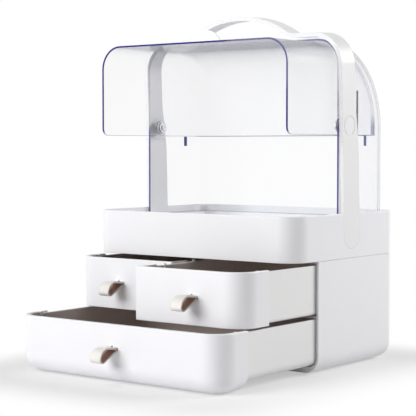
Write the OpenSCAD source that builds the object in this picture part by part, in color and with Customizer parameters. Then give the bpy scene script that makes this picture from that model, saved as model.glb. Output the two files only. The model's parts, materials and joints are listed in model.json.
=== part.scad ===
// Makeup organizer: cabinet with three drawers, tray, hinged clear lid and carrying handle.
// Origin: centre of the footprint at the level of the feet. Front is -Y, up is +Z.
// The drawers are modelled part open and the lid swung up.

/* [Overall] */
// Width of cabinet and tray
body_w = 268; // [230:1:320]
// Depth of the tray, drawer fronts included
body_d = 200; // [180:1:240]
// Height of the seam between cabinet and tray
cabinet_h = 117; // [108:1:140]
// Height of the tray
tray_h = 47; // [40:1:60]
// Corner radius at the front, seen from above
front_r = 24; // [22:1:34]
// Corner radius at the back, seen from above
back_r = 17.5; // [17.5:0.5:22]
// Radius of the rolled bottom edge
bottom_r = 17; // [10:0.5:17]
// Wall thickness of the white mouldings
wall = 2.4; // [1.8:0.1:3]

/* [Cabinet] */
// Distance from the tray's front to the cabinet's front edge
set_back = 43.5; // [38:0.5:50]
// Height of the cabinet's bottom above the table
foot_gap = 1.5; // [1:0.1:4]
// Diameter of a foot
foot_d = 14; // [10:1:20]
// Depth of a foot's seat in the cabinet's bottom
foot_seat = 0.8; // [0.5:0.1:1.2]
// Height of the cabinet's inner floor
floor_z = 8; // [7:0.5:10]
// Inset of the top flange that carries the tray
flange_inset = 11.5; // [11:0.1:14]
// Thickness of the mid shelf
shelf_t = 2.2; // [1.6:0.1:3]
// Thickness of the partition between the upper drawers
partition_t = 2; // [1.6:0.1:3]

/* [Drawers] */
// Height of the top of the lower drawer's front
lower_front_top = 59.3; // [56:0.1:64]
// Gap between the drawer fronts
front_gap = 1; // [0.6:0.1:2]
// Gap between the upper fronts and the tray
top_gap = 2.5; // [1.5:0.1:4]
// Clearance of a drawer front above the table
front_floor_gap = 1.2; // [0.8:0.1:2]
// How far a front stands above its box
front_lap = 1.7; // [1.2:0.1:2.4]
// Wall thickness of the boxes
box_wall = 2; // [1.6:0.1:2.6]
// Side gap between a box and the cabinet
side_clear = 1.2; // [0.4:0.1:2]
// Gap between a box and the surface below it
under_clear = 1.2; // [1:0.1:2]
// Gap between a box's runner rail and the surface below it
rail_clear = 0.3; // [0.1:0.1:0.5]
// Width of a runner rail
rail_w = 3; // [2:0.5:5]
// Gap behind the boxes when they are closed
rear_clear = 2; // [1:0.5:5]
// Length of a box that stays in the cabinet when its drawer meets its stop
drawer_hold = 26.6; // [24:0.1:50]
// How far the lower drawer stands open
lower_open = 121.5; // [0:0.5:121.5]
// How far the upper right drawer stands open
upper_right_open = 86.8; // [0:0.1:100]
// How far the upper left drawer stands open
upper_left_open = 29; // [0:0.5:100]
// Thickness of the lining in the boxes
liner_t = 0.8; // [0.5:0.1:1.2]
// Distance from a box's top down to its lining's top
liner_drop = 0.5; // [0.3:0.1:4]
// Length of a snap post on a box's side wall
post_len = 2.5; // [2:0.1:4]
// How far a snap post stands into its box
post_proud = 1.2; // [1:0.1:2]
// Distance from a front's face to the post at its side
post_back = 30.7; // [26:0.1:36]
// Distance from a front's face to the post beside the partition
inner_post_back = 41.4; // [36:0.1:41.5]

/* [Pulls] */
// Width of the leather strap
strap_w = 14; // [12:0.5:18]
// Thickness of the leather strap
strap_t = 1.7; // [1:0.1:2]
// How far a loop stands out from its front
loop_reach = 25; // [22:0.5:30]
// How far a loop rises above the middle of its slot
loop_rise = 3; // [2.4:0.1:4]
// How far a loop hangs below the middle of its slot
loop_drop = 11.6; // [10:0.1:13]
// Radius of a loop's round top
loop_r = 11.2; // [10:0.1:12.5]
// Radius of a loop's nose
nose_r = 4.2; // [3.2:0.1:5]
// Gap round the strap in its slot
slot_clear = 0.4; // [0.2:0.1:0.8]
// Height of the upper drawers' slots
upper_slot_z = 87.8; // [80:0.1:95]
// Height of the lower drawer's slot
lower_slot_z = 34.8; // [28:0.1:42]
// Distance of an upper slot from the middle
upper_slot_x = 72.5; // [60:0.5:80]
// Width of the bar that holds a strap behind the front
clip_w = 24; // [20:0.5:30]
// Height of that bar
clip_h = 9; // [8:0.5:12]
// Depth of that bar
clip_d = 6; // [5:0.5:8]
// Diameter of the rivet through bar and strap
rivet_d = 3; // [2:0.1:3.5]

/* [Tray] */
// Depth of the tray's upper step, below its rim
step_depth = 8.4; // [6:0.1:12]
// Width of the step at the sides
step_side = 14.5; // [14.5:0.1:16]
// Width of the step at the front
step_front = 18.5; // [18.5:0.1:22]
// Width of the step at the back
step_back = 9.5; // [9.5:0.1:12]
// Rounding of the tray's and fronts' edges
edge_r = 1; // [0.6:0.1:1.4]
// Diameter of a tray screw
screw_d = 3; // [2.5:0.1:3.5]

/* [Cover and lid] */
// Gap between the rear cover's sides and the handle's columns
cover_side_gap = 0.2; // [0.1:0.1:0.6]
// Distance from the tray's back to the rear cover's back
cover_back_inset = 7.03; // [5.2:0.01:8.4]
// How far the cover reaches in front of the pivot
cover_lead = 14; // [10:0.5:20]
// Wall thickness of the clear mouldings
clear_t = 1.8; // [1.6:0.1:2.4]
// Corner radius of cover and lid, across their width
barrel_r = 27; // [26:0.5:32]
// Radial gap between cover and lid
nest_gap = 2; // [1.5:0.1:3]
// Side gap between cover and lid
side_nest = 3.9; // [3:0.1:5]
// How far the lid reaches behind the pivot when closed
lid_tail = 10; // [9:0.5:14]
// Gap between cover or lid and the tray's step
seat_gap = 0.4; // [0.2:0.1:0.8]
// Radius of the lid's rear lower corners
lid_corner_r = 8; // [6:0.5:10]
// Width of the lid's finger tab
tab_w = 41; // [30:1:50]
// Reach of the lid's finger tab
tab_reach = 14; // [10:0.5:18]
// Thickness of the lid's finger tab
tab_t = 2.4; // [1.8:0.1:3]
// Height of the finger tab above the lid's lower edge
tab_height = 26.6; // [18:0.1:40]

/* [Pivot] */
// Height of the lid's pivot above the tray's rim
pivot_rise = 92; // [86:0.5:98]
// Diameter of a pivot pin
pin_d = 6; // [5:0.1:7]
// Radial running clearance between pin and bush
pin_clear = 0.05; // [0.03:0.01:0.1]
// Diameter of a pivot cap
cap_d = 20; // [16:0.5:22]
// Thickness of a pivot cap
cap_t = 1.4; // [1:0.1:1.6]
// Outer diameter of a lid bush
bush_d = 10; // [9:0.1:11]
// Thickness of a friction washer
washer_t = 0.8; // [0.5:0.1:1]

/* [Handle] */
// Width of the handle's columns at their feet, front to back
column_w = 32; // [28:0.5:34]
// Width of the columns at their upper end
column_top_w = 25; // [24:0.5:28]
// How far a column widens backwards up to its hip, below the pivot
hip_out = 1.3; // [0.5:0.1:2]
// Thickness of the handle strip
strip_t = 4.6; // [4.4:0.1:5.6]
// Depth of the centre of a column's round foot below the tray's rim
column_sink = 21.2; // [20:0.1:21.6]
// Position of that centre behind the middle of the footprint
column_base_y = 7.7; // [0:0.1:12]
// Forward lean of the handle in degrees
handle_lean = 2.9; // [0:0.1:4]
// Gap between the rear cover's top and the handle's shoulders
shoulder_gap = 2.75; // [1.5:0.05:6]
// Radius of the handle's outer corners
shoulder_r = 34; // [28:0.5:40]
// Height of the grip arch above the shoulders
arch_rise = 21.7; // [16:0.1:28]
// Radius of the grip arch, outside
arch_r = 122; // [110:1:130]
// Blend radius between arch and shoulders, outside
arch_blend_r = 12; // [8:0.5:16]
// Width of the grip at the middle of the arch
grip_w = 22; // [18:0.5:26]

/* [Hidden] */
$fn = 96;
eps = 0.01;
far = 400;

white = [0.95, 0.95, 0.96];
clear_tint = [0.80, 0.84, 0.95, 0.35];
taupe = [0.46, 0.41, 0.39];
leather = [0.93, 0.90, 0.86];

half_w = body_w / 2;
half_d = body_d / 2;
tray_top = cabinet_h + tray_h;
cabinet_front_y = -half_d + set_back;
// Inside the cabinet
inner_w = body_w - 2 * wall;
inner_back_y = half_d - wall;
flange_z = cabinet_h - wall;
// Drawer fronts: their inner face meets the boxes
front_t = wall + side_clear;
front_end_gap = 0.5;
// Open reveal round the cabinet's top, under the tray
reveal_h = 0.5;
reveal_in = 1;
front_end_y = cabinet_front_y - front_end_gap;
front_r_in = front_r - front_t;
upper_front_z = lower_front_top + front_gap;
upper_front_top = cabinet_h - top_gap;
// Boxes
box_half_w = half_w - front_t;
box_front_y = -half_d + front_t;
box_back_y = inner_back_y - rear_clear;
box_edge_r = 9;
upper_edge_r = 4;
box_back_clear = 1.1;
box_back_r = back_r - wall - box_back_clear;
box_inner_front_r = 8;
lower_box_z = floor_z + under_clear;
lower_box_top = lower_front_top - front_lap;
shelf_gap = 0.8;
shelf_z = lower_box_top + shelf_gap;
shelf_top = shelf_z + shelf_t;
shelf_front_gap = 0.5;
upper_box_z = shelf_top + under_clear;
upper_box_top = upper_front_top - front_lap;
partition_gap = 0.7;
upper_inner_x = partition_t / 2 + partition_gap;
rail_h = under_clear - rail_clear;
rail_front_gap = 4;
rail_inset = 20;
lower_rail_x = 80;
// Stops: a ridge on the surface below a box meets a lug under the box's rear
stop_h = 0.8;
lug_h = 0.8;
stop_t = 3;
stop_w = 30;
lug_w = 24;
lug_behind = 1;
drawer_travel = box_back_y - cabinet_front_y - drawer_hold;
lug_front_y = box_back_y - box_edge_r - stop_t - lug_behind;
ridge_back_y = lug_front_y - drawer_travel;
// The lining laps over its box's edge in front of the snap posts
lip_gap = 0.05;
lip_drop = 0.4;
lip_end_y = -half_d + post_back - post_len / 2 - 0.5;
post_gap = 0.2;
// Keyhole above a strap's slot
notch_d = 2.4;
notch_up = 0.4;
// Where a loop leaves the doubled strap, and how much further out its strands part
loop_root = 0.8;
root_fill = 0.6;

// Tray
step_z = tray_top - step_depth;
tray_floor_t = wall;
well_half_w = half_w - step_side;
well_front_y = -half_d + step_front;
well_back_y = half_d - step_back;
well_r = 14;
well_edge_r = 8;
// Handle and pivot
column_in_x = half_w - strip_t;
recess_clear = 0.2;
recess_wall = 2;
column_base_z = tray_top - column_sink;
pivot_z = tray_top + pivot_rise;
pivot_y = column_base_y - (pivot_z - column_base_z) * tan(handle_lean);
stud_z = [-7, 9];
stud_d = 6;
stud_clear = 0.4;
// The grip is narrow up to one distance from the side and full at the other
grip_narrow_in = 70;
grip_full_in = 16;
// Heights above a column's foot: straight up to the first, widest at the second, slim from the last
column_straight_h = column_sink + 4;
column_hip_h = pivot_rise + column_sink - 24;
column_slim_h = pivot_rise + column_sink + 24;
// Cover and lid
cover_w = 2 * (column_in_x - cover_side_gap);
cover_r = half_d - cover_back_inset - pivot_y;
cover_drop = pivot_z - step_z - seat_gap;
cover_in_x = cover_w / 2 - clear_t;
lid_r = cover_r - clear_t - nest_gap;
lid_half_w = cover_in_x - side_nest;
lid_drop = cover_drop;
lid_barrel_r = barrel_r - clear_t;
shoulder_rise = (pivot_z - column_base_z) / cos(handle_lean) + cover_r + shoulder_gap + strip_t;
washer_clear = 0.1;
boss_len = side_nest - washer_t - washer_clear;
boss_d = 16;
// Nubs inside the cover's sides, which the open lid's lower edge rests on
nub_len = 11;
nub_t = 2;
nub_y = 47;
nub_gap = 0.3;
// Relief slits in the cover's sides
slit_y = 25.6;
slit_w = 2.6;
slit_len = 48;
slit_end_d = 4;
// Pivot hardware
cap_gap = 0.1;
cap_clear = 0.05;
cap_edge = 0.5;
pin_head_t = 1.6;
pin_head_d = 11;
pin_head_x = half_w - cap_t - cap_gap;
pin_tail = 0.8;
bush_flange_t = 1.2;
bush_flange_d = 15;
retainer_t = 1.2;
retainer_d = 12;
bush_in_x = lid_half_w - clear_t - bush_flange_t;
retainer_gap = 0.2;
// Tray screws
tray_screw_head_d = 5.6;
tray_screw_head_t = 1.2;
tray_screw_len = 11;
slot_deep = 0.7;
slot_wide = 0.8;
slot_long = 4;
boss_x = (half_w + well_half_w) / 2;
boss_w = step_side - 2 * wall + 0.6;
back_boss_y = half_d - wall - 3;
screw_front_in = 62;
screw_back_in = 48;
back_screw_x = 60;
screw_points = [for (x = [-boss_x, boss_x]) for (y = [-half_d + screw_front_in, half_d - screw_back_in])
    [x, y], [-back_screw_x, back_boss_y], [back_screw_x, back_boss_y]];
// Feet: four near the corners and one in the middle
foot_x = half_w - 32;
foot_front_y = cabinet_front_y + 16;
foot_back_y = half_d - 30;
foot_clear = 0.1;
foot_points = [for (x = [-foot_x, foot_x]) for (y = [foot_front_y, foot_back_y]) [x, y], [0, 0]];
// Pockets in the cabinet's underside
pocket_count = 3;
pocket_side = 24;
pocket_rib = 4;
pocket_front_in = 26;
pocket_back_in = 49.6;
pocket_pitch = (body_w - 2 * pocket_side) / pocket_count;
pocket_front_y = cabinet_front_y + wall + pocket_front_in;
pocket_boss_d = foot_d + 2 * wall;
cabinet_inner_r = 20;

// ---- Shared shapes ----

// Cross-section of an edge: reach outwards, rounded at the bottom and the top
module edge_profile(reach, h, rb, rt) {
    translate([0, rb]) square([reach, h - rb - rt]);
    square([reach - rb, h - rt]);
    translate([0, h - rt - eps]) square([reach - rt, rt + eps]);
    intersection() {
        translate([reach - rb, rb]) circle(rb);
        square([reach, h]);
    }
    intersection() {
        translate([reach - rt, h - rt]) circle(rt);
        square([reach, h]);
    }
}

// Half of a rounded block: towards +Y, from x0 to x1
module edge_run(x0, x1, reach, h, rb, rt) {
    translate([(x0 + x1) / 2, 0, 0]) rotate([90, 0, 90])
        linear_extrude(x1 - x0, center = true) edge_profile(reach, h, rb, rt);
}

// Block from (x0, y0) to (x1, y1), z0 to z1, corner radii front left, front right, back
module rounded_block(x0, x1, y0, y1, z0, z1, fl, fr, bk, rb, rt) {
    w = x1 - x0;
    d = y1 - y0;
    h = z1 - z0;
    translate([(x0 + x1) / 2, (y0 + y1) / 2, z0]) {
        for (c = [[-1, -1, fl], [1, -1, fr], [-1, 1, bk], [1, 1, bk]])
            translate([c[0] * (w / 2 - c[2]), c[1] * (d / 2 - c[2]), 0])
                rotate_extrude() edge_profile(c[2], h, rb, rt);
        edge_run(-w / 2 + bk, w / 2 - bk, d / 2, h, rb, rt);
        mirror([0, 1, 0]) edge_run(-w / 2 + fl, w / 2 - fr, d / 2, h, rb, rt);
        rotate([0, 0, -90]) edge_run(-d / 2 + bk, d / 2 - fr, w / 2, h, rb, rt);
        rotate([0, 0, 90]) edge_run(-d / 2 + fl, d / 2 - bk, w / 2, h, rb, rt);
    }
}

// Upright column with a rounded rectangular plan
module plan_block(x0, x1, y0, y1, z0, z1, fl, fr, bk) {
    translate([0, 0, z0]) linear_extrude(z1 - z0) union() {
        translate([x0 + fl, y0 + fl]) circle(fl);
        translate([x1 - fr, y0 + fr]) circle(fr);
        for (x = [x0 + bk, x1 - bk]) translate([x, y1 - bk]) circle(bk);
        polygon([[x0 + fl, y0], [x1 - fr, y0], [x1, y0 + fr], [x1, y1 - bk],
            [x1 - bk, y1], [x0 + bk, y1], [x0, y1 - bk], [x0, y0 + fl]]);
    }
}

module rod(d, x0, x1) {
    translate([x0, 0, 0]) rotate([0, 90, 0]) cylinder(d = d, h = x1 - x0);
}

module both_sides() {
    children();
    mirror([1, 0, 0]) children();
}

// ---- Cabinet ----

module cabinet_outline(top) {
    intersection() {
        rounded_block(-half_w, half_w, -half_d, half_d, foot_gap, top,
            front_r, front_r, back_r, bottom_r, eps);
        translate([-far, cabinet_front_y, 0]) cube([2 * far, far, far]);
    }
}

module cabinet_shell() {
    color(white) difference() {
        cabinet_outline(cabinet_h);
        // drawer space, open at the front
        rounded_block(-inner_w / 2, inner_w / 2, -half_d, inner_back_y, floor_z, flange_z,
            cabinet_inner_r, cabinet_inner_r, back_r - wall, box_edge_r + side_clear, eps);
        // opening inside the top flange
        plan_block(-half_w + flange_inset, half_w - flange_inset, -half_d - 20,
            half_d - flange_inset, flange_z - 1, cabinet_h + 1, 8, 8, 10);
        difference() {
            translate([-far, -far, cabinet_h - reveal_h]) cube([2 * far, 2 * far, far]);
            plan_block(-half_w + reveal_in, half_w - reveal_in, -half_d + reveal_in,
                half_d - reveal_in, 0, far, front_r - reveal_in, front_r - reveal_in,
                back_r - reveal_in);
        }
        // pockets in the underside, with ribs between them and a boss for the middle foot
        difference() {
            for (i = [0:pocket_count - 1])
                translate([-half_w + pocket_side + i * pocket_pitch + pocket_rib / 2, pocket_front_y, -1])
                    cube([pocket_pitch - pocket_rib, half_d - pocket_back_in - pocket_front_y,
                        floor_z - wall + 1]);
            translate([0, 0, -2]) cylinder(d = pocket_boss_d, h = floor_z);
        }
        for (p = foot_points) translate([p[0], p[1], 0])
            cylinder(d = foot_d + 2 * foot_clear, h = foot_gap + foot_seat);
        for (p = screw_points) translate([p[0], p[1], flange_z - 1])
            cylinder(d = screw_d + stud_clear, h = wall + 2);
    }
    // stop ridge for the lower drawer
    color(white) translate([-stop_w / 2, ridge_back_y - stop_t, floor_z - eps])
        cube([stop_w, stop_t, stop_h + eps]);
}

module feet() {
    color([0.82, 0.82, 0.83]) for (p = foot_points) translate([p[0], p[1], 0])
        cylinder(d = foot_d, h = foot_gap + foot_seat);
}

module mid_shelf() {
    color(white) {
        translate([-inner_w / 2, cabinet_front_y + shelf_front_gap, shelf_z])
            cube([inner_w, inner_back_y - back_r - cabinet_front_y, shelf_t]);
        translate([-inner_w / 2 + back_r, inner_back_y - back_r, shelf_z])
            cube([inner_w - 2 * back_r, back_r, shelf_t]);
        // stop ridges for the upper drawers
        for (s = [-1, 1]) translate([s * upper_slot_x - stop_w / 2, ridge_back_y - stop_t, shelf_top - eps])
            cube([stop_w, stop_t, stop_h + eps]);
    }
}

module centre_partition() {
    color(white) translate([-partition_t / 2, cabinet_front_y + shelf_front_gap, shelf_top])
        cube([partition_t, inner_back_y - cabinet_front_y - shelf_front_gap, flange_z - shelf_top]);
}

// ---- Tray ----

module in_handle_frame() {
    translate([0, column_base_y, column_base_z]) rotate([handle_lean, 0, 0]) children();
}

// The part of a column that lies in the tray, grown by g
module column_foot(g) {
    rotate([90, 0, 90]) {
        translate([0, 0, column_in_x - g]) linear_extrude(strip_t + g + 5) union() {
            circle(column_w / 2 + g);
            translate([-column_w / 2 - g, 0]) square([column_w + 2 * g, tray_h]);
        }
    }
}

module tray() {
    color(white) difference() {
        union() {
            difference() {
                rounded_block(-half_w, half_w, -half_d, half_d, cabinet_h, tray_top,
                    front_r, front_r, back_r, edge_r / 2, edge_r);
                // upper step
                plan_block(-half_w + wall, half_w - wall, -half_d + wall, half_d - wall, step_z,
                    tray_top + 1, front_r - wall, front_r - wall, back_r - wall);
                // channel under the step, open downwards
                difference() {
                    plan_block(-half_w + wall, half_w - wall, -half_d + wall, half_d - wall,
                        cabinet_h - 1, step_z - wall, front_r - wall, front_r - wall, back_r - wall);
                    plan_block(-well_half_w - wall, well_half_w + wall, well_front_y - wall,
                        well_back_y + wall, cabinet_h - 2, step_z, well_r + wall, well_r + wall,
                        well_r + wall);
                }
            }
            // recess housings and screw bosses inside the channel
            intersection() {
                plan_block(-half_w + 1, half_w - 1, -half_d + 1, half_d - 1, cabinet_h, step_z - 1,
                    front_r - 1, front_r - 1, back_r - 1);
                union() {
                    both_sides() in_handle_frame() column_foot(recess_clear + recess_wall);
                    for (p = screw_points) translate([p[0], p[1], cabinet_h])
                        cylinder(d = boss_w, h = tray_screw_len + 2);
                }
            }
        }
        // well
        rounded_block(-well_half_w, well_half_w, well_front_y, well_back_y,
            cabinet_h + tray_floor_t, tray_top + 9, well_r, well_r, well_r, well_edge_r, eps);
        both_sides() in_handle_frame() {
            column_foot(recess_clear);
            for (z = stud_z) translate([0, 0, z])
                rod(stud_d + stud_clear, well_half_w + wall + 1, half_w);
        }
        for (p = screw_points) translate([p[0], p[1], cabinet_h - 1])
            cylinder(d = screw_d, h = tray_screw_len + 1.5);
    }
}

module tray_screws() {
    color("silver") for (p = screw_points) translate([p[0], p[1], flange_z]) {
        translate([0, 0, -tray_screw_head_t]) difference() {
            cylinder(d = tray_screw_head_d, h = tray_screw_head_t);
            for (a = [0, 90]) rotate([0, 0, a]) translate([-slot_long / 2, -slot_wide / 2, -eps])
                cube([slot_long, slot_wide, slot_deep]);
        }
        cylinder(d = screw_d, h = tray_screw_len);
    }
}

// ---- Handle ----

// Fills the corner between the arch and a shoulder line at height z with a blend of radius r
module arch_corner(z, centre_z, radius, r) {
    x = sqrt(pow(radius + r, 2) - pow(z + r - centre_z, 2));
    tx = x * radius / (radius + r);
    tz = centre_z + (z + r - centre_z) * radius / (radius + r);
    difference() {
        polygon([[x, z], [tx, tz], [tx - 8, tz - 10], [x, z - 4]]);
        translate([x, z + r]) circle(r);
    }
}

// Everything below the handle's surface that lies t inside its outer face
module handle_region(t, blend) {
    top = shoulder_rise - t;
    centre_z = shoulder_rise + arch_rise - arch_r;
    x = half_w - t;
    r = shoulder_r - t;
    translate([-x, -far]) square([2 * x, far + top - r]);
    translate([-x + r, 0]) square([2 * (x - r), top]);
    for (s = [-1, 1]) translate([s * (x - r), top - r]) circle(r);
    intersection() {
        translate([0, centre_z]) circle(arch_r - t);
        translate([-far, top - 30]) square(2 * far);
    }
    for (m = [0, 1]) mirror([m, 0]) arch_corner(top, centre_z, arch_r - t, blend + t);
}

// A column seen from the side: round foot, hip below the pivot, slim above it
module column_side() {
    circle(d = column_w);
    polygon([[-column_w / 2, 0], [column_w / 2, 0], [column_w / 2, column_straight_h],
        [column_w / 2 + hip_out, column_hip_h], [column_top_w / 2, column_slim_h],
        [column_top_w / 2, far], [-column_top_w / 2, far], [-column_top_w / 2, column_slim_h],
        [-column_w / 2, column_straight_h]]);
}

module handle_strip() {
    narrow_x = half_w - grip_narrow_in;
    full_x = half_w - grip_full_in;
    intersection() {
        rotate([90, 0, 0]) linear_extrude(column_w + 2 * hip_out, center = true) difference() {
            handle_region(0, arch_blend_r);
            handle_region(strip_t, arch_blend_r);
        }
        rotate([90, 0, 90]) linear_extrude(body_w + 2, center = true) column_side();
        // narrower grip, seen from above
        translate([0, 0, -column_w]) linear_extrude(2 * far) {
            square([2 * narrow_x, grip_w], center = true);
            for (s = [-1, 1]) polygon([[s * narrow_x, -grip_w / 2], [s * narrow_x, grip_w / 2],
                [s * full_x, column_top_w / 2], [s * full_x, column_w], [s * (half_w + 1), column_w],
                [s * (half_w + 1), -column_w], [s * full_x, -column_w], [s * full_x, -column_top_w / 2]]);
        }
    }
}

module handle_frame() {
    color(white) difference() {
        in_handle_frame() {
            handle_strip();
            both_sides() for (z = stud_z) translate([0, 0, z]) {
                rod(stud_d, column_in_x - recess_wall - recess_clear - 1, column_in_x + 1);
                translate([column_in_x - recess_wall - recess_clear - 2, 0, 0]) rotate([0, 90, 0])
                    cylinder(d1 = stud_d - 1, d2 = stud_d + 0.3, h = 1.4);
            }
        }
        both_sides() at_pivot() {
            rod(cap_d + 2 * cap_clear, pin_head_x, half_w + 1);
            cap_cone(cap_d + 2 * cap_clear, cap_edge);
            rod(pin_head_d + 4 * cap_clear, pin_head_x - pin_head_t - cap_clear, half_w + 1);
            rod(pin_d + 2 * cap_clear, column_in_x - 1, half_w);
        }
    }
}

// ---- Pivots ----

module at_pivot() {
    translate([0, pivot_y, pivot_z]) children();
}

// Cone at a column's outer face that widens by e there; a negative e narrows it
module cap_cone(d, e) {
    translate([half_w - cap_edge, 0, 0]) rotate([0, 90, 0])
        cylinder(d1 = d, d2 = d + 2 * e, h = cap_edge);
}

module pivot_caps() {
    color(white) both_sides() at_pivot() {
        rod(cap_d, half_w - cap_t, half_w - cap_edge);
        cap_cone(cap_d, -cap_edge);
    }
}

module pivot_pins() {
    color("silver") both_sides() at_pivot() {
        rod(pin_head_d, pin_head_x - pin_head_t, pin_head_x);
        rod(pin_d, bush_in_x - retainer_gap - retainer_t - pin_tail, pin_head_x - pin_head_t + eps);
    }
}

module friction_washers() {
    color([0.6, 0.6, 0.62]) both_sides() at_pivot() difference() {
        rod(boss_d - 1, cover_in_x - boss_len - washer_t, cover_in_x - boss_len);
        rod(pin_d + 0.2, 0, far);
    }
}

module pin_retainers() {
    color("silver") both_sides() at_pivot() difference() {
        rod(retainer_d, bush_in_x - retainer_gap - retainer_t, bush_in_x - retainer_gap);
        rod(pin_d, 0, far);
    }
}

module lid_bushes() {
    color([0.88, 0.88, 0.9]) both_sides() at_pivot() difference() {
        union() {
            rod(bush_d, lid_half_w - clear_t - eps, lid_half_w);
            rod(bush_flange_d, bush_in_x, lid_half_w - clear_t);
        }
        rod(pin_d + 2 * pin_clear, 0, far);
    }
}

// ---- Clear mouldings ----

// Half of a barrel's section: depth from the pivot, width along X, one rounded side
module barrel_section(hw, depth0, depth1, r) {
    translate([depth0, -hw]) square([depth1 - r - depth0, 2 * hw]);
    translate([depth1 - r - eps, -hw + r]) square([r + eps, 2 * (hw - r)]);
    for (s = [-1, 1]) intersection() {
        translate([depth1 - r, s * (hw - r)]) circle(r);
        translate([max(depth0, 0), -hw]) square([depth1, 2 * hw]);
    }
}

// Quarter barrel behind and above the pivot, with a straight drop and a straight lead
module barrel(hw, radius, r, lead, drop) {
    rotate([0, 90, 0]) rotate([0, 0, 90])
        rotate_extrude(angle = 90) barrel_section(hw, 0, radius, r);
    translate([0, 0, -drop]) linear_extrude(drop)
        rotate([0, 0, 90]) barrel_section(hw, -lead, radius, r);
    rotate([90, 0, 0]) linear_extrude(lead)
        rotate([0, 0, 90]) barrel_section(hw, 0, radius, r);
}

module barrel_shell(hw, radius, r, lead, drop) {
    difference() {
        barrel(hw, radius, r, lead, drop);
        barrel(hw - clear_t, radius - clear_t, r - clear_t, lead + 1, drop + 1);
    }
}

module rear_cover() {
    color(clear_tint) at_pivot() difference() {
        union() {
            barrel_shell(cover_w / 2, cover_r, barrel_r, cover_lead, cover_drop);
            both_sides() rod(boss_d, cover_in_x - boss_len, cover_in_x + eps);
            // nubs that the open lid's lower edge rests on
            both_sides() translate([cover_in_x - side_nest - clear_t / 2, nub_y,
                -lid_tail - nub_gap - nub_len]) cube([side_nest + clear_t / 2 + 0.5, nub_t, nub_len]);
        }
        both_sides() rod(pin_d + 0.3, cover_in_x - boss_len - 1, far);
        // relief slits that let the pivot area spring, each with a round end
        both_sides() {
            translate([cover_in_x - 1, slit_y - slit_w / 2, -lid_tail])
                cube([clear_t + 2, slit_w, slit_len]);
            translate([0, slit_y, slit_len - lid_tail]) rod(slit_end_d, cover_in_x - 1, far);
        }
    }
}

// Turns what is drawn as for a closed lid into the open pose
module lid_open() {
    at_pivot() rotate([-90, 0, 0]) mirror([0, 1, 0]) children();
}

module lid() {
    color(clear_tint) lid_open() difference() {
        barrel_shell(lid_half_w, lid_r, lid_barrel_r, lid_tail, lid_drop);
        both_sides() rod(bush_d, lid_half_w - clear_t - 1, far);
        // rounded lower corners of the side walls
        both_sides() translate([lid_half_w - clear_t - 1, 0, 0]) rotate([90, 0, 90])
            linear_extrude(clear_t + 2) difference() {
                translate([-lid_tail - 1, -lid_drop - 1]) square(lid_corner_r + 1);
                translate([-lid_tail + lid_corner_r, -lid_drop + lid_corner_r]) circle(lid_corner_r);
            }
    }
}

module lid_tab() {
    bow_r = (tab_w * tab_w / 4 + tab_reach * tab_reach) / (2 * tab_reach);
    color(white) lid_open() translate([0, lid_r, -lid_drop + tab_height]) {
        translate([0, 0, -tab_t / 2]) linear_extrude(tab_t) intersection() {
            translate([0, tab_reach - bow_r]) circle(bow_r);
            translate([-tab_w, 0]) square([2 * tab_w, tab_reach + 1]);
        }
        translate([-tab_w / 2, 0, -3.5]) cube([tab_w, 1.4, 7]);
    }
}

// ---- Drawers ----

// A box, its front and its lining; fl and fr are the front corner radii of the box
module box_shape(x0, x1, z0, z1, fl, fr, edge, g) {
    rounded_block(x0 + g, x1 - g, box_front_y + g, box_back_y - g, z0 + g, z1,
        fl - g, fr - g, box_back_r - g, edge - g, eps);
}

module slot_cut(x, z) {
    w = strap_w + 2 * slot_clear;
    h = 2 * strap_t + 2 * slot_clear;
    depth = front_t + box_wall + liner_t + 2;
    translate([x, -half_d - 1, z]) {
        translate([-w / 2, 0, -h / 2]) cube([w, depth, h]);
        translate([0, 0, h / 2 + notch_up]) rotate([-90, 0, 0]) cylinder(d = notch_d, h = depth);
        translate([-notch_d / 2, 0, 0]) cube([notch_d, depth, h / 2 + notch_up]);
    }
}

// Snap posts on the side walls at x0 and x1, back and their distances from the face, grown by g
module snap_posts(x0, x1, z0, z1, back, g) {
    reach = box_wall + post_proud + g;
    for (p = [[x0, back[0]], [x1 - reach, back[1]]])
        translate([p[0], -half_d + p[1] - post_len / 2 - g, z0])
            cube([reach, post_len + 2 * g, z1 - z0]);
}

module drawer_box(x0, x1, z0, z1, fl, fr, edge, slot, back, rails) {
    color(white) {
        difference() {
            box_shape(x0, x1, z0, z1, fl, fr, edge, 0);
            box_shape(x0, x1, z0, z1 + 5, fl, fr, edge, box_wall);
            slot_cut(slot[0], slot[1]);
        }
        snap_posts(x0, x1, z0 + edge + post_gap, z1 + front_lap, back, 0);
        for (x = rails) translate([x - rail_w / 2, cabinet_front_y + rail_front_gap, z0 - rail_h])
            cube([rail_w, box_back_y - edge - cabinet_front_y - rail_front_gap, rail_h + eps]);
        translate([slot[0] - lug_w / 2, lug_front_y, z0 - lug_h])
            cube([lug_w, stop_t, lug_h + eps]);
    }
}

module drawer_liner(x0, x1, z0, z1, fl, fr, edge, slot, back) {
    color(taupe) difference() {
        union() {
            box_shape(x0, x1, z0, z1 - liner_drop, fl, fr, edge, box_wall);
            // lip over the box's front edge
            intersection() {
                union() {
                    liner_rim(x0, x1, z1 + lip_gap, z1 + front_lap - lip_drop, fl, fr, lip_gap);
                    liner_rim(x0, x1, z1 - liner_drop - 1, z1 + 1, fl, fr, box_wall + lip_gap);
                }
                translate([-far, -far, 0]) cube([2 * far, far + lip_end_y, far]);
            }
        }
        box_shape(x0, x1, z0, z1 + front_lap, fl, fr, edge, box_wall + liner_t);
        snap_posts(x0, x1, z0 + edge, z1 + front_lap + 1, back, post_gap);
        // window round the bar that holds the strap
        translate([slot[0] - clip_w / 2 - 1, -half_d, slot[1] - clip_h / 2 - 1])
            cube([clip_w + 2, front_t + box_wall + liner_t + 2, clip_h + 2]);
    }
}

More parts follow.
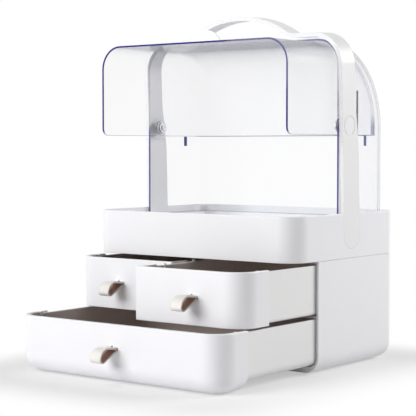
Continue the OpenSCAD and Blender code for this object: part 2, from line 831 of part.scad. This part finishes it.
module liner_rim(x0, x1, z0, z1, fl, fr, g) {
    plan_block(x0 + g, x1 - g, box_front_y + g, box_back_y - g, z0, z1, fl - g, fr - g, box_back_r - g);
}

lower_slot = [0, lower_slot_z];
right_slot = [upper_slot_x, upper_slot_z];
lower_posts = [post_back, post_back];
right_posts = [inner_post_back, post_back];

module lower_at() { translate([0, -lower_open, 0]) children(); }
module upper_right_at() { translate([0, -upper_right_open, 0]) children(); }
module upper_left_at() { translate([0, -upper_left_open, 0]) children(); }

module lower_drawer_box() {
    lower_at() drawer_box(-box_half_w, box_half_w, lower_box_z, lower_box_top,
        front_r_in, front_r_in, box_edge_r, lower_slot, lower_posts, [-lower_rail_x, lower_rail_x]);
}

module lower_drawer_liner() {
    lower_at() drawer_liner(-box_half_w, box_half_w, lower_box_z, lower_box_top,
        front_r_in, front_r_in, box_edge_r, lower_slot, lower_posts);
}

module lower_drawer_front() {
    color(white) lower_at() difference() {
        rounded_block(-half_w, half_w, -half_d, half_d, front_floor_gap, lower_front_top,
            front_r, front_r, back_r, bottom_r, edge_r);
        rounded_block(-half_w + front_t, half_w - front_t, -half_d + front_t, half_d,
            front_floor_gap + front_t, lower_front_top + 5, front_r_in, front_r_in, back_r,
            bottom_r - front_t, eps);
        translate([-far, front_end_y, -1]) cube([2 * far, far, far]);
        slot_cut(lower_slot[0], lower_slot[1]);
    }
}

module right_box() {
    drawer_box(upper_inner_x, box_half_w, upper_box_z, upper_box_top, box_inner_front_r,
        front_r_in, upper_edge_r, right_slot, right_posts,
        [upper_inner_x + rail_inset, box_half_w - rail_inset]);
}

module right_liner() {
    drawer_liner(upper_inner_x, box_half_w, upper_box_z, upper_box_top,
        box_inner_front_r, front_r_in, upper_edge_r, right_slot, right_posts);
}

module right_front() {
    color(white) difference() {
        rounded_block(front_gap / 2, half_w, -half_d, half_d, upper_front_z, upper_front_top,
            1.5, front_r, back_r, edge_r, edge_r);
        plan_block(-20, half_w - front_t, -half_d + front_t, half_d + 9,
            upper_front_z - 1, upper_front_top + 1, 2, front_r_in, 5);
        translate([-far, front_end_y, -1]) cube([2 * far, far, far]);
        slot_cut(right_slot[0], right_slot[1]);
    }
}

module upper_right_drawer_box() { upper_right_at() right_box(); }
module upper_right_drawer_liner() { upper_right_at() right_liner(); }
module upper_right_drawer_front() { upper_right_at() right_front(); }
module upper_left_drawer_box() { upper_left_at() mirror([1, 0, 0]) right_box(); }
module upper_left_drawer_liner() { upper_left_at() mirror([1, 0, 0]) right_liner(); }
module upper_left_drawer_front() { upper_left_at() mirror([1, 0, 0]) right_front(); }

// ---- Leather pulls ----

clip_y = box_front_y + box_wall;
strap_end_y = clip_y + clip_d + 1;

// Centres of the loop's round top and of its nose: distance out from the front, height over the slot
top_centre = [loop_reach - loop_r, loop_rise - loop_r];
nose_turn = asin((loop_r + nose_r - loop_rise - loop_drop) / (loop_r - nose_r));
nose_centre = top_centre + (loop_r - nose_r) * [cos(nose_turn), sin(nose_turn)];

function on_circle(c, r, a) = c + r * [cos(a), sin(a)];
// Direction in which a line from p touches a circle, seen from its centre; side 1 above, -1 below
function touch_angle(p, c, r, side) =
    atan2(c[1] - p[1], c[0] - p[0]) + side * (asin(r / norm(c - p)) + 90);

// Points along an arc, its first one left out
function arc(c, r, from, to, n) = [for (k = [1:n]) on_circle(c, r, from + (to - from) * k / n)];

// The loop seen from the side, g inside its outer face: two strands that part at the slot
module loop_outline(g) {
    t = strap_t - g;
    root = loop_root + (t > 0 ? 0 : root_fill);
    upper = [root, t];
    lower = [root, -t];
    a_top = touch_angle(upper, top_centre, loop_r - g, 1);
    a_nose = touch_angle(lower, nose_centre, nose_r - g, -1);
    polygon(concat([upper, on_circle(top_centre, loop_r - g, a_top)],
        arc(top_centre, loop_r - g, a_top, nose_turn, 16),
        arc(nose_centre, nose_r - g, nose_turn, a_nose, 14),
        t > 0 ? [lower] : []));
}

module pull(slot) {
    color(leather) translate([slot[0], 0, slot[1]]) {
        translate([0, -half_d, 0]) rotate([90, 0, 90])
            linear_extrude(strap_w, center = true) mirror([1, 0]) difference() {
                loop_outline(0);
                loop_outline(strap_t);
            }
        difference() {
            translate([-strap_w / 2, -half_d - loop_root - root_fill / 2, -strap_t])
                cube([strap_w, strap_end_y + half_d + loop_root + root_fill / 2, 2 * strap_t]);
            translate([0, clip_y + clip_d / 2, -strap_t - 1])
                cylinder(d = rivet_d, h = 2 * strap_t + 2);
        }
    }
}

module pull_clip(slot) {
    color([0.75, 0.75, 0.76]) translate([slot[0], clip_y, slot[1]]) difference() {
        translate([-clip_w / 2, 0, -clip_h / 2]) cube([clip_w, clip_d, clip_h]);
        translate([-strap_w / 2 - 0.2, -1, -strap_t - 0.05])
            cube([strap_w + 0.4, clip_d + 2, 2 * strap_t + 0.1]);
        translate([0, clip_d / 2, -clip_h]) cylinder(d = rivet_d, h = 2 * clip_h);
    }
}

module pull_rivet(slot) {
    color("silver") translate([slot[0], clip_y + clip_d / 2, slot[1]]) {
        translate([0, 0, -clip_h / 2]) cylinder(d = rivet_d, h = clip_h);
        for (m = [0, 1]) mirror([0, 0, m]) translate([0, 0, clip_h / 2]) cylinder(d = rivet_d + 2, h = 0.9);
    }
}

module lower_pull() { lower_at() pull(lower_slot); }
module lower_pull_clip() { lower_at() pull_clip(lower_slot); }
module lower_pull_rivet() { lower_at() pull_rivet(lower_slot); }
module upper_right_pull() { upper_right_at() pull(right_slot); }
module upper_right_pull_clip() { upper_right_at() pull_clip(right_slot); }
module upper_right_pull_rivet() { upper_right_at() pull_rivet(right_slot); }
module upper_left_pull() { upper_left_at() mirror([1, 0, 0]) pull(right_slot); }
module upper_left_pull_clip() { upper_left_at() mirror([1, 0, 0]) pull_clip(right_slot); }
module upper_left_pull_rivet() { upper_left_at() mirror([1, 0, 0]) pull_rivet(right_slot); }

cabinet_shell();
mid_shelf();
centre_partition();
feet();
tray();
tray_screws();
handle_frame();
rear_cover();
pivot_pins();
pivot_caps();
friction_washers();
pin_retainers();
lid();
lid_tab();
lid_bushes();
lower_drawer_box();
lower_drawer_front();
lower_drawer_liner();
lower_pull();
lower_pull_clip();
lower_pull_rivet();
upper_left_drawer_box();
upper_left_drawer_front();
upper_left_drawer_liner();
upper_left_pull();
upper_left_pull_clip();
upper_left_pull_rivet();
upper_right_drawer_box();
upper_right_drawer_front();
upper_right_drawer_liner();
upper_right_pull();
upper_right_pull_clip();
upper_right_pull_rivet();
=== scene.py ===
import json
import math

import bpy
import bmesh
from mathutils import Matrix, Vector


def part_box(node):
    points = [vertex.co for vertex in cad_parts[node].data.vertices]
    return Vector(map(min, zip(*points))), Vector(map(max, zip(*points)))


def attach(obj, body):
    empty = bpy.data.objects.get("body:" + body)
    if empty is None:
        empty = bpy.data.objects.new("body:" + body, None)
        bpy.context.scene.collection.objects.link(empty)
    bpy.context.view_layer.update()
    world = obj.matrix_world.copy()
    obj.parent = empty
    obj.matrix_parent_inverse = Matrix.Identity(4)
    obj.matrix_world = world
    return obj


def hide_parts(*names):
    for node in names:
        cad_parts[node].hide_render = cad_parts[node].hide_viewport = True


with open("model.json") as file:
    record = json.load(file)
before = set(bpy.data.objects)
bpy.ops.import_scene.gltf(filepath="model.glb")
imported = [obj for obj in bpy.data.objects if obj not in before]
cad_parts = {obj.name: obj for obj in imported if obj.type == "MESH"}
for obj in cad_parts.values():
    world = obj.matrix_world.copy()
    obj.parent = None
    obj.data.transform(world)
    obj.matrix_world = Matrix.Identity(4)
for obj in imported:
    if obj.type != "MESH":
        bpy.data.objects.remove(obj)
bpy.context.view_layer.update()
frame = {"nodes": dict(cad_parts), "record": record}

MM = 0.001


# ---------------------------------------------------------------- camera

EYE = Vector((0.8813, -1.2073, 0.2338))
RIGHT = Vector((0.7919, 0.6107, 0.0))
UP = Vector((-0.0304, 0.0394, 0.9988))
BACK = Vector((0.6099, -0.7909, 0.0497))
LENS = 116.7
SENSOR = 36.0
SHIFT_X, SHIFT_Y = -0.0037, 0.0140
FAR_CLIP = 20.0


def link(name, data):
    made = bpy.data.objects.new(name, data)
    bpy.context.scene.collection.objects.link(made)
    return made


def place_camera():
    data = bpy.data.cameras.new("camera")
    data.lens = LENS
    data.sensor_width = SENSOR
    data.shift_x, data.shift_y = SHIFT_X, SHIFT_Y
    data.clip_end = FAR_CLIP
    camera = link("camera", data)
    turn = Matrix((RIGHT.normalized(), UP.normalized(), BACK.normalized())).transposed()
    camera.matrix_world = Matrix.Translation(EYE) @ turn.to_4x4()
    bpy.context.scene.camera = camera


place_camera()
bpy.context.scene.view_settings.view_transform = "Standard"


# ---------------------------------------------------------------- node trees

class Wire:
    """An output socket; arithmetic on it adds Math nodes to its tree."""

    def __init__(self, owner, socket):
        self.owner = owner
        self.socket = socket

    def _math(self, operation, *values):
        return self.owner.node("ShaderNodeMath", {"operation": operation}, *values)

    def __add__(self, other):
        return self._math("ADD", self, other)

    def __radd__(self, other):
        return self._math("ADD", other, self)

    def __sub__(self, other):
        return self._math("SUBTRACT", self, other)

    def __rsub__(self, other):
        return self._math("SUBTRACT", other, self)

    def __mul__(self, other):
        return self._math("MULTIPLY", self, other)

    def __rmul__(self, other):
        return self._math("MULTIPLY", other, self)

    def __pow__(self, other):
        return self._math("POWER", self, other)

    def __lt__(self, other):
        return self._math("LESS_THAN", self, other)

    def __gt__(self, other):
        return self._math("GREATER_THAN", self, other)

    def over(self, other):
        return self._math("MAXIMUM", self, other)

    def under(self, other):
        return self._math("MINIMUM", self, other)


class Tree:
    """A node tree; node() adds a node and gives back one of its outputs."""

    def __init__(self, tree):
        self.tree = tree
        self.tree.nodes.clear()

    def feed(self, made, values):
        """Sets or links a node's inputs, each by its position or its name."""
        for key, value in values.items():
            socket = made.inputs[key.replace("_", " ") if isinstance(key, str) else key]
            if isinstance(value, Wire):
                self.tree.links.new(value.socket, socket)
            else:
                socket.default_value = value

    def node(self, kind, settings=None, *values, out=0, **named):
        made = self.tree.nodes.new(kind)
        for key, value in (settings or {}).items():
            setattr(made, key, value)
        self.feed(made, {**dict(enumerate(values)), **named})
        return Wire(self, made.outputs[out]) if made.outputs else None

    def shows_backdrop(self):
        """1 for rays that show the backdrop itself, 0 for those that it lights."""
        camera, glossy, through = (self.node("ShaderNodeLightPath", out=f"Is {kind} Ray")
                                   for kind in ("Camera", "Glossy", "Transmission"))
        return (camera + glossy + through).under(1.0)


class Finish(Tree):
    """A material built node by node; its last call sets the Principled shader."""

    def __init__(self, name):
        self.material = bpy.data.materials.new(name)
        self.material.use_nodes = True
        super().__init__(self.material.node_tree)

    def place(self):
        return self.node("ShaderNodeTexCoord", out="Object")

    def axis(self, place, index):
        return self.node("ShaderNodeSeparateXYZ", None, place, out=index)

    def facing(self):
        """0 seen square on, 1 seen edge-on."""
        return self.node("ShaderNodeLayerWeight", None, Blend=0.5, out="Facing")

    def noise(self, place, scale, detail=2.0, rough=0.5):
        return self.node("ShaderNodeTexNoise", None, Vector=place, Scale=scale, Detail=detail,
                         Roughness=rough)

    def streaks(self, place, scales, detail=1.0):
        """Noise drawn out along the axes with the small scales."""
        stretched = self.node("ShaderNodeMapping", None, Vector=place, Scale=scales)
        return self.noise(stretched, 1.0, detail)

    def step(self, value, low, high):
        """0 at low, 1 at high, smooth between."""
        return self.node("ShaderNodeMapRange", {"interpolation_type": "SMOOTHSTEP"},
                         value, low, high, 0.0, 1.0)

    def window(self, value, low, high):
        """1 from low to high, 0 outside."""
        return self.step(value, low - WINDOW_FADE, low) * self.step(value, high + WINDOW_FADE, high)

    def blend(self, factor, a, b):
        a, b = (tone if isinstance(tone, Wire) else (*tone, 1.0) for tone in (a, b))
        mixed = self.tree.nodes.new("ShaderNodeMix")
        mixed.data_type = "RGBA"
        self.feed(mixed, {0: factor, 6: a, 7: b})
        return Wire(self, mixed.outputs[2])

    def bump(self, height, strength, distance):
        return self.node("ShaderNodeBump", None, Strength=strength, Distance=distance, Height=height)

    def surface(self, **sockets):
        shader = self.node("ShaderNodeBsdfPrincipled", None, **sockets)
        self.node("ShaderNodeOutputMaterial", None, Surface=shader)
        return self.material


WINDOW_FADE = 0.2 * MM


def srgb(r, g, b):
    """Display values 0..255 as a linear colour."""
    def lin(v):
        v /= 255
        return v / 12.92 if v <= 0.04045 else ((v + 0.055) / 1.055) ** 2.4
    return (lin(r), lin(g), lin(b))


def shaded(tone, share):
    return tuple(c * share for c in tone)


# ---------------------------------------------------------------- white mouldings

def moulded_white(name, tone, rough=0.34, coat=0.12):
    """Injection-moulded ABS: a fine orange peel, faint gloss patches and rare hairline scuffs."""
    f = Finish(name)
    place = f.place()
    cloud = f.noise(place, 9.0, 3.0)
    peel = f.noise(place, 520.0, 2.0, 0.55)
    grain = f.noise(place, 2400.0, 1.0)
    scuff = f.step(f.streaks(place, (900.0, 60.0, 900.0)), 0.72, 0.78) * 0.5
    return f.surface(
        Base_Color=f.blend(cloud, tone, shaded(tone, 0.985)),
        Roughness=rough + (cloud - 0.5) * 0.06 + scuff * 0.08,
        Normal=f.bump(peel + grain * 0.25, 0.10, 0.12 * MM),
        Coat_Weight=coat,
        Coat_Roughness=0.18,
    )


# ---------------------------------------------------------------- clear lid and cover

BODY_COVER = 0.05
GRAZING_COVER = 0.85
RIM_DEEP = 0.80 * MM
RIM_FADE = 0.45 * MM
SHEET = srgb(228, 230, 240)
SHEET_EDGE_ON = srgb(96, 94, 116)
INDIGO = srgb(46, 38, 122)
VIOLET = srgb(92, 87, 150)
SMOKE = srgb(136, 136, 150)
# painted shadow: the dark line in the relief slit's gap beside the handle column
SLIT_SHADE = srgb(92, 88, 88)

LID_CORNER = 8 * MM
# from the lid's back: where its lower rim turns purple, and its barrel where seen edge-on
LID_REAR_RIM = (26 * MM, 16 * MM)
LID_REAR_WALL = (12 * MM, 6 * MM)
# the same purple fades out over these heights above the lid's lower edge
LID_WALL_TOP = (34 * MM, 8 * MM)

PIVOT_FADE = 3 * MM
ROOF_DEPTH = (14 * MM, 4 * MM)
# painted shade: x range over which the cover's rim is drawn darker on its right side
ROOF_RIGHT_SHADE = (62 * MM, 96 * MM)
# nub, and the painted shadow line of the relief slit: ranges behind the pivot and above it
NUB_Y, NUB_Z = (46.7 * MM, 48.4 * MM), (-23 * MM, -9 * MM)
NUB_INSIDE = (3.2 * MM, 3.4 * MM)
SLIT_Y, SLIT_Z = (23.8 * MM, 25.4 * MM), (-10.5 * MM, 38.5 * MM)


def acrylic(f, place, rim, rim_tone, rim_cover):
    """Polished clear sheet: nearly colourless, lilac where seen edge-on, a cut rim of its own tone."""
    facing = f.facing()
    ripple = f.noise(place, 26.0, 2.0)
    hairline = f.step(f.streaks(place, (700.0, 700.0, 40.0)), 0.70, 0.76)
    film = BODY_COVER + GRAZING_COVER * facing ** 5.0
    sheet = f.blend(facing ** 3.0, SHEET, SHEET_EDGE_ON)
    return f.surface(
        Base_Color=f.blend(rim, sheet, rim_tone),
        Roughness=0.03 + ripple * 0.02 + hairline * 0.05,
        Alpha=film.over(rim * rim_cover).under(1.0),
        Normal=f.bump(ripple, 0.04, 0.4 * MM),
        IOR=1.49,
        Specular_IOR_Level=0.2,
    )


def lid_acrylic(low, high, corner):
    """Rim: indigo down the front edge and round its corner, smoke along the lower edge, purple behind."""
    f = Finish("lid_acrylic")
    place = f.place()
    y, z = f.axis(place, 1), f.axis(place, 2)
    ahead = ((low.y + corner) - y).over(0.0)
    below = ((low.z + corner) - z).over(0.0)
    depth = corner - (ahead * ahead + below * below) ** 0.5
    rim = f.step(depth, RIM_DEEP, RIM_FADE)
    front = f.step(ahead, corner * 0.55, corner * 0.95)
    rear = f.step(y, *(high.y - d for d in LID_REAR_RIM))
    strong = front.over(rear * 0.8)
    turned = (f.step(f.facing(), 0.40, 0.66) * f.step(y, *(high.y - d for d in LID_REAR_WALL))
              * f.step(z, *(low.z + d for d in LID_WALL_TOP)))
    tone = f.blend(turned, f.blend(strong, SMOKE, INDIGO), VIOLET)
    return acrylic(f, place, rim.over(turned), tone, (0.4 + 0.6 * strong).over(turned * 0.9))


def cover_acrylic(low, high, pivot):
    """Front rim: violet below the pivot, pale above it and on the roof, with painted shade darkening it on
    the right side, most at the roof's right.
    """
    f = Finish("cover_acrylic")
    place = f.place()
    x, y, z = (f.axis(place, k) for k in range(3))
    rim = f.step(y - low.y, RIM_DEEP, RIM_FADE)
    lower = f.step(z, pivot.z + PIVOT_FADE, pivot.z - PIVOT_FADE)
    roof = f.step(z, *(high.z - d for d in ROOF_DEPTH))
    # painted shade: the rim is drawn darker on the cover's right side, darkest at the roof's right, though
    # both sides of the cover are alike
    right = f.step(x, *ROOF_RIGHT_SHADE)
    strong = lower.over(roof * right).over(right * 0.45)
    foot = 0.5 * f.step(z, low.z + RIM_DEEP, low.z + RIM_FADE)
    nub = f.window(y, *(pivot.y + d for d in NUB_Y)) * f.window(z, *(pivot.z + d for d in NUB_Z))
    nub = nub * f.step(x * x, *((high.x - d) ** 2 for d in NUB_INSIDE))
    # painted shadow: a dark line down the relief slit, on the right side only, where shade falls in the gap
    # beside the handle column
    slit_shadow = f.window(y, *(pivot.y + d for d in SLIT_Y)) * f.window(z, *(pivot.z + d for d in SLIT_Z))
    slit_shadow = slit_shadow * f.step(x, 0.0, 1 * MM)
    tone = f.blend(slit_shadow, f.blend(strong.over(nub), SMOKE, VIOLET), SLIT_SHADE)
    return acrylic(f, place, rim.over(nub).over(slit_shadow).over(foot), tone,
                   (0.3 + 0.7 * strong).over(nub * 0.9).over(slit_shadow * 0.9))


# ---------------------------------------------------------------- soft and small parts

def leather(name, tone, dark, grain=1.0, rough=0.55):
    """Small-pebbled leather with creases across its bends."""
    f = Finish(name)
    place = f.place()
    pebble = f.node("ShaderNodeTexVoronoi", {"feature": "SMOOTH_F1"}, Vector=place, Scale=1500.0)
    fine = f.noise(place, 3800.0, 3.0)
    crease = f.streaks(place, (90.0, 900.0, 900.0), 3.0)
    cloud = f.noise(place, 160.0, 3.0)
    mask = (pebble * 0.45 + crease * 0.35 + cloud * 0.35).under(1.0)
    return f.surface(
        Base_Color=f.blend(mask, tone, dark),
        Roughness=rough + 0.18 * (cloud - 0.5) + 0.08 * pebble,
        Normal=f.bump(pebble * -0.6 + fine * 0.3 + crease * 0.5, 0.5 * grain, 0.18 * MM),
        Sheen_Weight=0.08,
    )


def flocking(name, tone):
    """Short fibres sprayed on a thin insert: soft sheen, patchy nap."""
    f = Finish(name)
    place = f.place()
    nap = f.noise(place, 40.0, 4.0, 0.6)
    fibre = f.noise(place, 3200.0, 2.0, 0.7)
    stroke = f.streaks(place, (30.0, 220.0, 30.0), 2.0)
    shade = nap * 0.5 + stroke * 0.3 + fibre * 0.2
    return f.surface(
        Base_Color=f.blend(shade, shaded(tone, 1.12), shaded(tone, 0.84)),
        Roughness=0.9 - 0.08 * stroke,
        Normal=f.bump(fibre + nap * 0.4, 0.6, 0.25 * MM),
        Sheen_Weight=0.45,
        Sheen_Roughness=0.45,
    )


def turned_steel(name):
    """Machined steel with fine lathe lines across its axis."""
    f = Finish(name)
    place = f.place()
    lines = f.streaks(place, (4000.0, 260.0, 260.0), 2.0)
    patch = f.noise(place, 320.0, 2.0)
    return f.surface(
        Base_Color=f.blend(lines, srgb(196, 198, 202), srgb(158, 160, 166)),
        Metallic=1.0,
        Roughness=0.22 + 0.14 * lines + 0.08 * patch,
        Normal=f.bump(lines, 0.15, 0.04 * MM),
    )


def dull_polymer(name, tone, rough=0.55, strength=0.2):
    """Unpolished nylon, acetal or soft rubber."""
    f = Finish(name)
    place = f.place()
    mottle = f.noise(place, 900.0, 3.0)
    cloud = f.noise(place, 60.0, 2.0)
    return f.surface(
        Base_Color=f.blend(cloud, tone, shaded(tone, 0.9)),
        Roughness=rough + 0.1 * (mottle - 0.5),
        Normal=f.bump(mottle, strength, 0.1 * MM),
    )


# ---------------------------------------------------------------- dressing the nodes

strap_skin = leather("strap_skin", srgb(246, 244, 240), srgb(230, 225, 218))
strap_flesh = leather("strap_flesh", srgb(214, 182, 164), srgb(180, 148, 130), grain=1.6, rough=0.8)
strap_edge = leather("strap_edge", srgb(206, 196, 188), srgb(182, 170, 160), grain=0.5, rough=0.5)

pin_low, pin_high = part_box("pivot_pins")
white_box = moulded_white("white_box", srgb(240, 240, 240), rough=0.42, coat=0.05)

BY_SLOT = {
    "white_plastic": moulded_white("white_moulding", srgb(243, 243, 246)),
    "steel": turned_steel("turned_steel"),
    "foot_rubber": dull_polymer("foot_rubber", srgb(190, 190, 192), rough=0.8),
    "washer_nylon": dull_polymer("washer_nylon", srgb(196, 196, 200), rough=0.45),
    "bush_acetal": dull_polymer("bush_acetal", srgb(222, 222, 226), rough=0.35, strength=0.08),
    "taupe_lining": flocking("lining_flock", srgb(204, 192, 186)),
    "clip_nylon": dull_polymer("clip_nylon", srgb(186, 186, 188), rough=0.5),
    "pull_leather": strap_skin,
}
BY_NODE = {
    "lid": lid_acrylic(*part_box("lid"), LID_CORNER),
    "rear_cover": cover_acrylic(*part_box("rear_cover"), (pin_low + pin_high) / 2),
    "handle_frame": moulded_white("white_handle", srgb(241, 241, 242), rough=0.38),
    "lower_drawer_box": white_box,
    "upper_left_drawer_box": white_box,
    "upper_right_drawer_box": white_box,
}

for subpart in frame["record"]["subparts"]:
    dressed = frame["nodes"][subpart["node"]].data.materials
    dressed.clear()
    dressed.append(BY_NODE.get(subpart["node"]) or BY_SLOT[subpart["material_slot"]])


# ---------------------------------------------------------------- leather pulls

STRAP_W = 14 * MM
STRAP_T = 1.7 * MM
LOOP_REACH = 25 * MM
LOOP_RISE = 3 * MM
LOOP_DROP = 11.6 * MM
LOOP_R = 11.2 * MM
NOSE_R = 4.2 * MM
LOOP_ROOT = 0.8 * MM
STRAP_IN = 11 * MM
ARC_STEPS = 24
SKIN_SHARE = 0.485


def touch_angle(point, centre, radius, side):
    """Direction in which a line from the point touches a circle, seen from the circle's centre."""
    gap = centre - point
    return math.atan2(gap.y, gap.x) + side * (math.asin(radius / gap.length) + math.pi / 2)


def strap_line():
    """Middle line of the strap as (out, up) from its slot: out along the top, round the nose and back in."""
    t = STRAP_T / 2
    top = Vector((LOOP_REACH - LOOP_R, LOOP_RISE - LOOP_R))
    turn = math.asin((LOOP_R + NOSE_R - LOOP_RISE - LOOP_DROP) / (LOOP_R - NOSE_R))
    nose = top + (LOOP_R - NOSE_R) * Vector((math.cos(turn), math.sin(turn)))
    upper, lower = Vector((LOOP_ROOT, t)), Vector((LOOP_ROOT, -t))
    line = [Vector((-STRAP_IN, t)), upper]
    for centre, radius, start, end in (
            (top, LOOP_R - t, touch_angle(upper, top, LOOP_R - t, 1), turn),
            (nose, NOSE_R - t, turn, touch_angle(lower, nose, NOSE_R - t, -1))):
        for k in range(ARC_STEPS + 1):
            angle = start + (end - start) * k / ARC_STEPS
            line.append(centre + radius * Vector((math.cos(angle), math.sin(angle))))
    return line + [lower, Vector((-STRAP_IN, -t))]


class Grower(Tree):
    """A Geometry Nodes tree that turns a line into a piece, with named sizes."""

    def __init__(self, name, **sizes):
        super().__init__(bpy.data.node_groups.new(name, "GeometryNodeTree"))
        offer = self.tree.interface.new_socket
        offer("Line", in_out="INPUT", socket_type="NodeSocketGeometry")
        offer("Result", in_out="OUTPUT", socket_type="NodeSocketGeometry")
        self.sizes = {}
        for key, value in sizes.items():
            socket = offer(key.replace("_", " "), in_out="INPUT", socket_type="NodeSocketFloat")
            socket.default_value = value
            self.sizes[socket.identifier] = value
        self.given = self.tree.nodes.new("NodeGroupInput").outputs

    def size(self, name):
        return Wire(self, self.given[name])

    def grow(self, name, points):
        """The piece as a plain mesh, grown along the points."""
        line = bpy.data.meshes.new(name + "_line")
        line.from_pydata(points, [(k, k + 1) for k in range(len(points) - 1)], [])
        guide = link(name + "_guide", line)
        modifier = guide.modifiers.new("grow", "NODES")
        modifier.node_group = self.tree
        for identifier, value in self.sizes.items():
            modifier[identifier] = value
        grown = guide.evaluated_get(bpy.context.evaluated_depsgraph_get())
        data = bpy.data.meshes.new_from_object(grown)
        guide.modifiers.remove(modifier)
        bpy.data.objects.remove(guide)
        return data


def strap_grower():
    """Sweeps a worn-edged strip along the line: skin outside, flesh inside, dyed edges."""
    g = Grower("strap_sweep", Strap_width=STRAP_W, Strap_thickness=STRAP_T - 0.06 * MM,
               Edge_wear=0.45 * MM, Step=0.4 * MM)
    path = g.node("GeometryNodeMeshToCurve", Mesh=g.size("Line"))
    path = g.node("GeometryNodeResampleCurve", {"mode": "LENGTH"}, Curve=path, Length=g.size("Step"))
    strip = g.node("GeometryNodeCurvePrimitiveQuadrilateral", Width=g.size("Strap width"),
                   Height=g.size("Strap thickness"))
    strip = g.node("GeometryNodeFilletCurve", {"mode": "POLY"}, Curve=strip, Count=3,
                   Radius=g.size("Edge wear"))
    keep = g.tree.nodes.new("GeometryNodeCaptureAttribute")
    keep.capture_items.new("FLOAT", "depth")
    across = g.node("ShaderNodeSeparateXYZ", out=1, Vector=g.node("GeometryNodeInputPosition"))
    g.feed(keep, {"Geometry": strip, "depth": across})
    strip, depth = Wire(g, keep.outputs["Geometry"]), Wire(g, keep.outputs["depth"])
    swept = g.node("GeometryNodeCurveToMesh", Curve=path, Profile_Curve=strip, Fill_Caps=True)
    swept = g.node("GeometryNodeSetShadeSmooth", Geometry=swept)
    swept = g.node("GeometryNodeRealizeInstances", Geometry=swept)
    limit = g.size("Strap thickness") * SKIN_SHARE
    outside, inside = depth < limit * -1.0, depth > limit
    for finish, choice in ((strap_edge, True), (strap_skin, outside), (strap_flesh, inside)):
        swept = g.node("GeometryNodeSetMaterial", Geometry=swept, Material=finish, Selection=choice)
    g.node("NodeGroupOutput", Result=swept)
    return g


def make_pull(drawer, grower):
    node = drawer + "_pull"
    low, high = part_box(node)
    clip_low, clip_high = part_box(node + "_clip")
    centre_x = (low.x + high.x) / 2
    slot_z = (clip_low.z + clip_high.z) / 2
    face_y = low.y + LOOP_REACH
    data = grower.grow(node, [(centre_x, face_y - p.x, slot_z + p.y) for p in strap_line()])
    mesh = bmesh.new()
    mesh.from_mesh(data)
    bmesh.ops.recalc_face_normals(mesh, faces=mesh.faces)
    mesh.to_mesh(data)
    mesh.free()
    strap = link(drawer + "_strap", data)
    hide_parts(node)
    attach(strap, drawer + "_drawer")


strap_sweep = strap_grower()
for drawer_name in ("lower", "upper_left", "upper_right"):
    make_pull(drawer_name, strap_sweep)


# ---------------------------------------------------------------- floor and light

FLOOR_HALF = 6.0
FLOOR_TONE = (0.84, 0.84, 0.845, 1.0)
BACKDROP = (1.0, 1.0, 1.0, 1.0)
FILL_TONE = (0.97, 0.975, 1.0, 1.0)
FILL = 0.14
# the floor keeps its shadow near this footprint and turns into backdrop away from it
FOOT_HALF_X, FOOT_FRONT, FOOT_BACK = 0.134, -0.246, 0.10
FOOT_FADE = (0.01, 0.11)
FLOOR_GLOW = 0.45
# a ray may pass every clear sheet of lid and cover, two faces each, on its way to a lamp
CLEAR_FACES = 32


def lay_floor():
    mesh = bmesh.new()
    bmesh.ops.create_grid(mesh, x_segments=1, y_segments=1, size=FLOOR_HALF)
    data = bpy.data.meshes.new("floor")
    mesh.to_mesh(data)
    mesh.free()
    floor = link("floor", data)
    f = Finish("floor")
    shade = f.node("ShaderNodeBsdfDiffuse", None, Color=FLOOR_TONE)
    glow = f.node("ShaderNodeEmission", None, Color=BACKDROP, Strength=1.0)
    place = f.place()
    across, along = f.axis(place, 0), f.axis(place, 1)
    beside = ((across * across) ** 0.5 - FOOT_HALF_X).over(0.0)
    before = (FOOT_FRONT - along).over(along - FOOT_BACK).over(0.0)
    away = f.step((beside * beside + before * before) ** 0.5, *FOOT_FADE)
    share = f.shows_backdrop() * (FLOOR_GLOW + (1.0 - FLOOR_GLOW) * away)
    f.node("ShaderNodeOutputMaterial", None, Surface=f.node("ShaderNodeMixShader", None, share, shade, glow))
    data.materials.append(f.material)


def light_world():
    world = bpy.data.worlds.new("studio")
    bpy.context.scene.world = world
    world.use_nodes = True
    t = Tree(world.node_tree)
    fill = t.node("ShaderNodeBackground", None, Color=FILL_TONE, Strength=FILL)
    shown = t.node("ShaderNodeBackground", None, Color=BACKDROP, Strength=1.0)
    mixed = t.node("ShaderNodeMixShader", None, t.shows_backdrop(), fill, shown)
    t.node("ShaderNodeOutputWorld", None, Surface=mixed)


def softbox(name, place, target, width, height, power, colour=(1.0, 1.0, 1.0)):
    data = bpy.data.lights.new(name, "AREA")
    data.shape = "RECTANGLE"
    data.size = width
    data.size_y = height
    data.energy = power
    data.color = colour
    lamp = link(name, data)
    lamp.location = place
    lamp.rotation_euler = (Vector(target) - Vector(place)).to_track_quat("-Z", "Y").to_euler()


lay_floor()
light_world()
softbox("key", (-0.62, -1.87, 0.86), (0.0, 0.0, 0.15), 1.2, 1.0, 29.2)
softbox("side", (1.35, 1.28, 1.02), (0.0, 0.0, 0.15), 1.1, 1.0, 29.0, (1.0, 0.99, 0.975))
softbox("top", (-0.25, -1.05, 1.55), (0.0, -0.15, 0.05), 0.8, 0.6, 4.5)
bpy.context.scene.cycles.transparent_max_bounces = CLEAR_FACES
